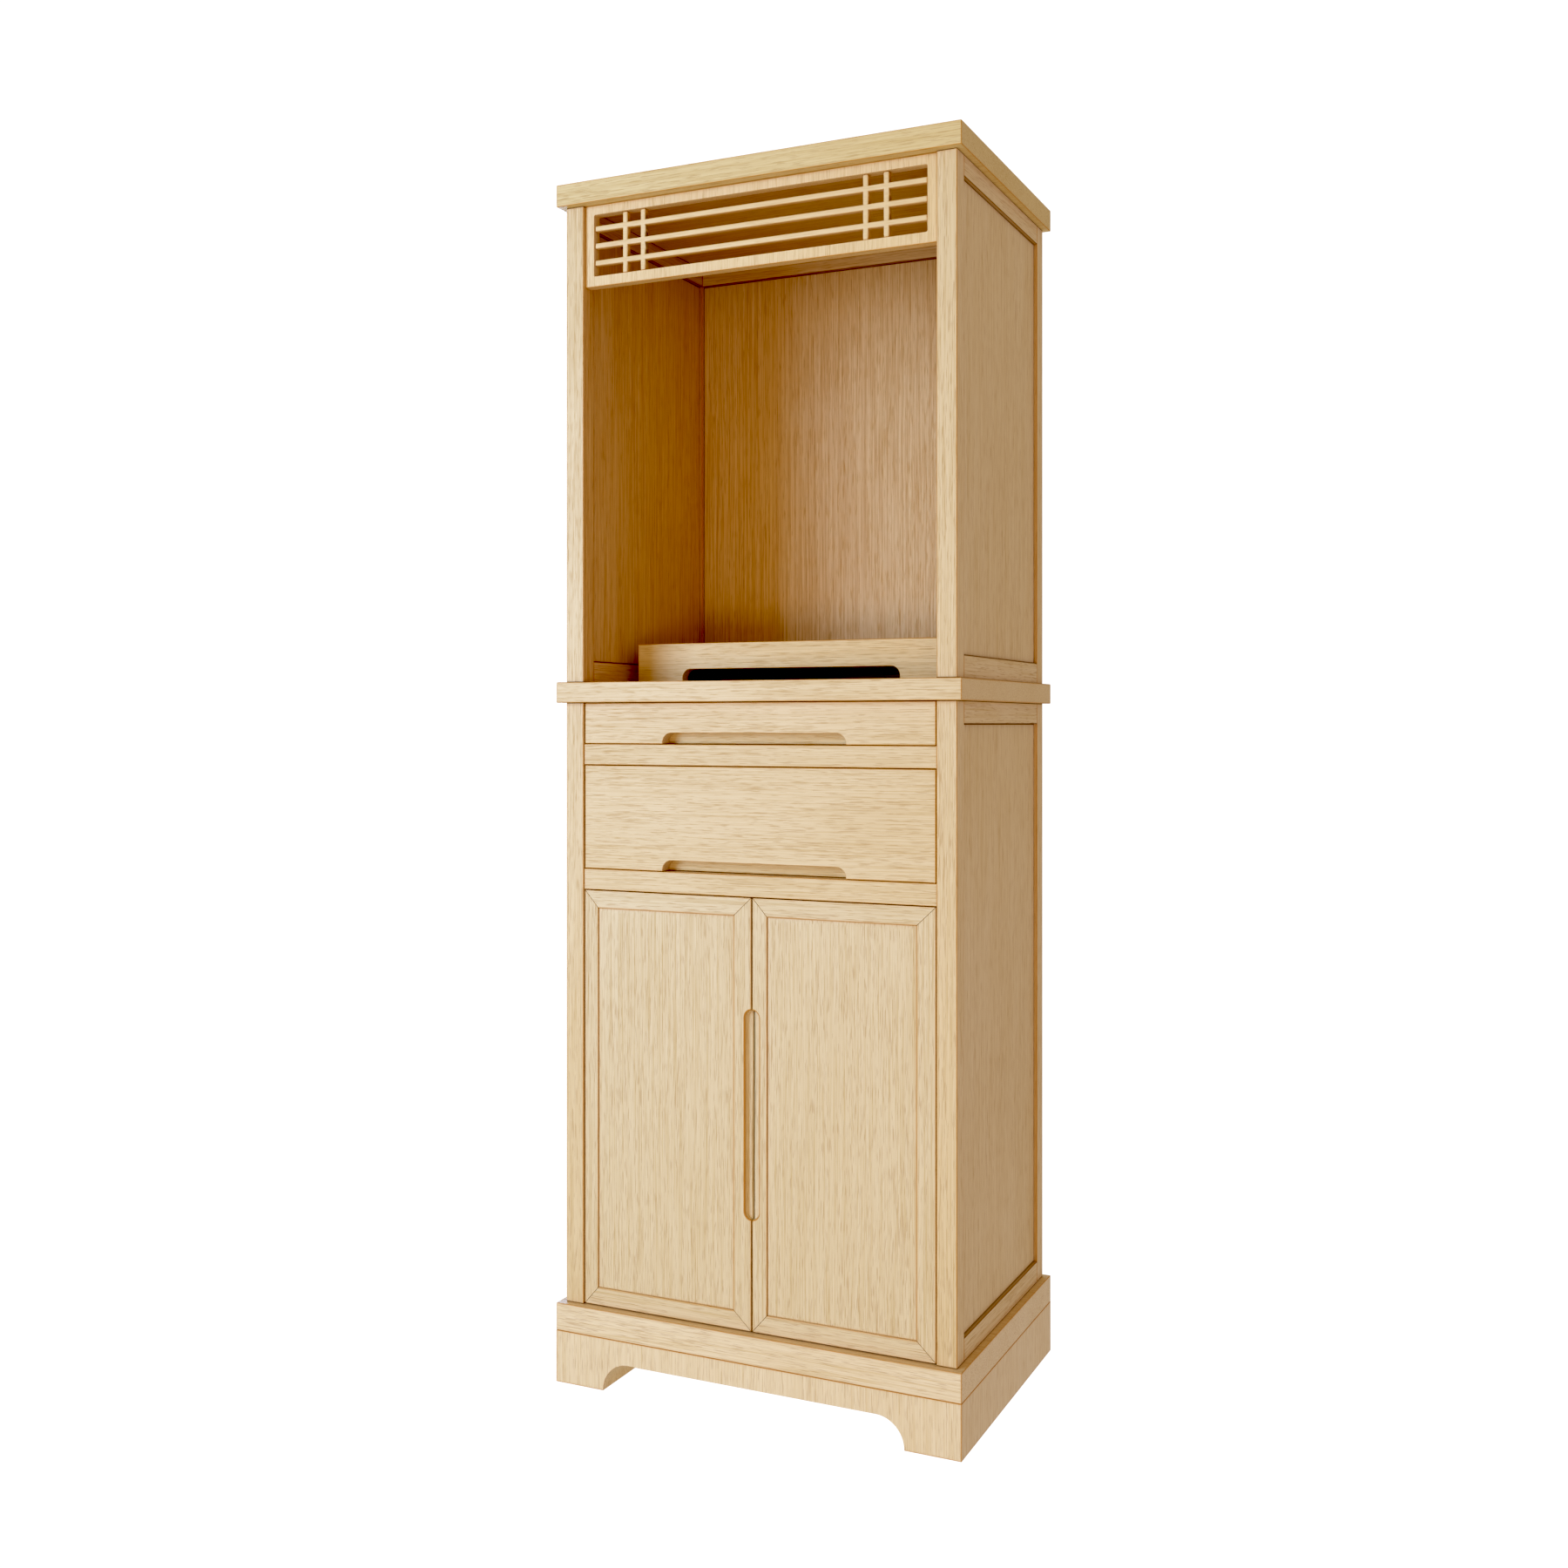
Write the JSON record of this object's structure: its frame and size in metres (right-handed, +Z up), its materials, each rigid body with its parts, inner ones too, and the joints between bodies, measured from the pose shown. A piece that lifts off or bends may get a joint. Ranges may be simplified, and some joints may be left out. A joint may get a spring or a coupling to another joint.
{
  "type": "household altar cabinet",
  "caption": "Tall wooden household altar cabinet: bracket plinth, cupboard with doors and drawers, open niche with a lattice transom and a low riser",
  "frame": {"origin": "On the floor, under the middle of the cabinet's outline", "axes": "+Z up, -Y the front with the doors and drawers, +X the cabinet's right as seen from the front"},
  "size_m": [0.61, 0.41, 1.712],
  "materials": {
    "body_wood": "pale oiled hardwood with a fine upright grain, satin",
    "board_wood": "pale oiled hardwood with the grain along the board, satin",
    "drawer_wood": "pale plain wood, matt"
  },
  "bodies": {
    "body": {"plinth": "body_wood", "base_board": "board_wood", "lower_post_front_left": "body_wood", "lower_post_front_right": "body_wood", "lower_post_back_left": "body_wood", "lower_post_back_right": "body_wood", "lower_rail_left_top": "body_wood", "lower_rail_left_bottom": "body_wood", "lower_rail_right_top": "body_wood", "lower_rail_right_bottom": "body_wood", "lower_panel_left": "body_wood", "lower_panel_right": "body_wood", "lower_rail_back_top": "body_wood", "lower_rail_back_bottom": "body_wood", "lower_panel_back": "body_wood", "divider_lower": "board_wood", "divider_upper": "board_wood", "waist_board": "board_wood", "upper_post_front_left": "body_wood", "upper_post_front_right": "body_wood", "upper_post_back_left": "body_wood", "upper_post_back_right": "body_wood", "upper_rail_left_top": "body_wood", "upper_rail_left_bottom": "body_wood", "upper_rail_right_top": "body_wood", "upper_rail_right_bottom": "body_wood", "upper_panel_left": "body_wood", "upper_panel_right": "body_wood", "upper_rail_back_top": "body_wood", "upper_rail_back_bottom": "body_wood", "upper_panel_back": "body_wood", "lattice_frame": "body_wood", "lattice_bars": "body_wood", "riser_front": "board_wood", "riser_side_left": "board_wood", "riser_side_right": "board_wood", "riser_top": "board_wood", "top_board": "board_wood"},
    "shallow_drawer": {"shallow_drawer_front": "board_wood", "shallow_drawer_inner_front": "drawer_wood", "shallow_drawer_side_left": "drawer_wood", "shallow_drawer_side_right": "drawer_wood", "shallow_drawer_back": "drawer_wood", "shallow_drawer_bottom": "drawer_wood"},
    "deep_drawer": {"deep_drawer_front": "board_wood", "deep_drawer_inner_front": "drawer_wood", "deep_drawer_side_left": "drawer_wood", "deep_drawer_side_right": "drawer_wood", "deep_drawer_back": "drawer_wood", "deep_drawer_bottom": "drawer_wood"},
    "left_door": {"left_door_stile_hinge": "body_wood", "left_door_stile_meeting": "body_wood", "left_door_rail_top": "body_wood", "left_door_rail_bottom": "body_wood", "left_door_panel": "body_wood"},
    "right_door": {"right_door_stile_hinge": "body_wood", "right_door_stile_meeting": "body_wood", "right_door_rail_top": "body_wood", "right_door_rail_bottom": "body_wood", "right_door_panel": "body_wood"}
  },
  "joints": [
    {"name": "shallow_drawer_slide", "type": "slide", "parent": "body", "child": "shallow_drawer", "axis": [0, -1, 0], "range_m": [0, 0.25]},
    {"name": "deep_drawer_slide", "type": "slide", "parent": "body", "child": "deep_drawer", "axis": [0, -1, 0], "range_m": [0, 0.25]},
    {"name": "left_door_hinge", "type": "hinge", "parent": "body", "child": "left_door", "pos_m": [-0.2655, -0.1915, 0.4075], "axis": [0, 0, -1], "range_deg": [0, 105]},
    {"name": "right_door_hinge", "type": "hinge", "parent": "body", "child": "right_door", "pos_m": [0.2655, -0.1915, 0.4075], "axis": [0, 0, 1], "range_deg": [0, 105]}
  ]
}
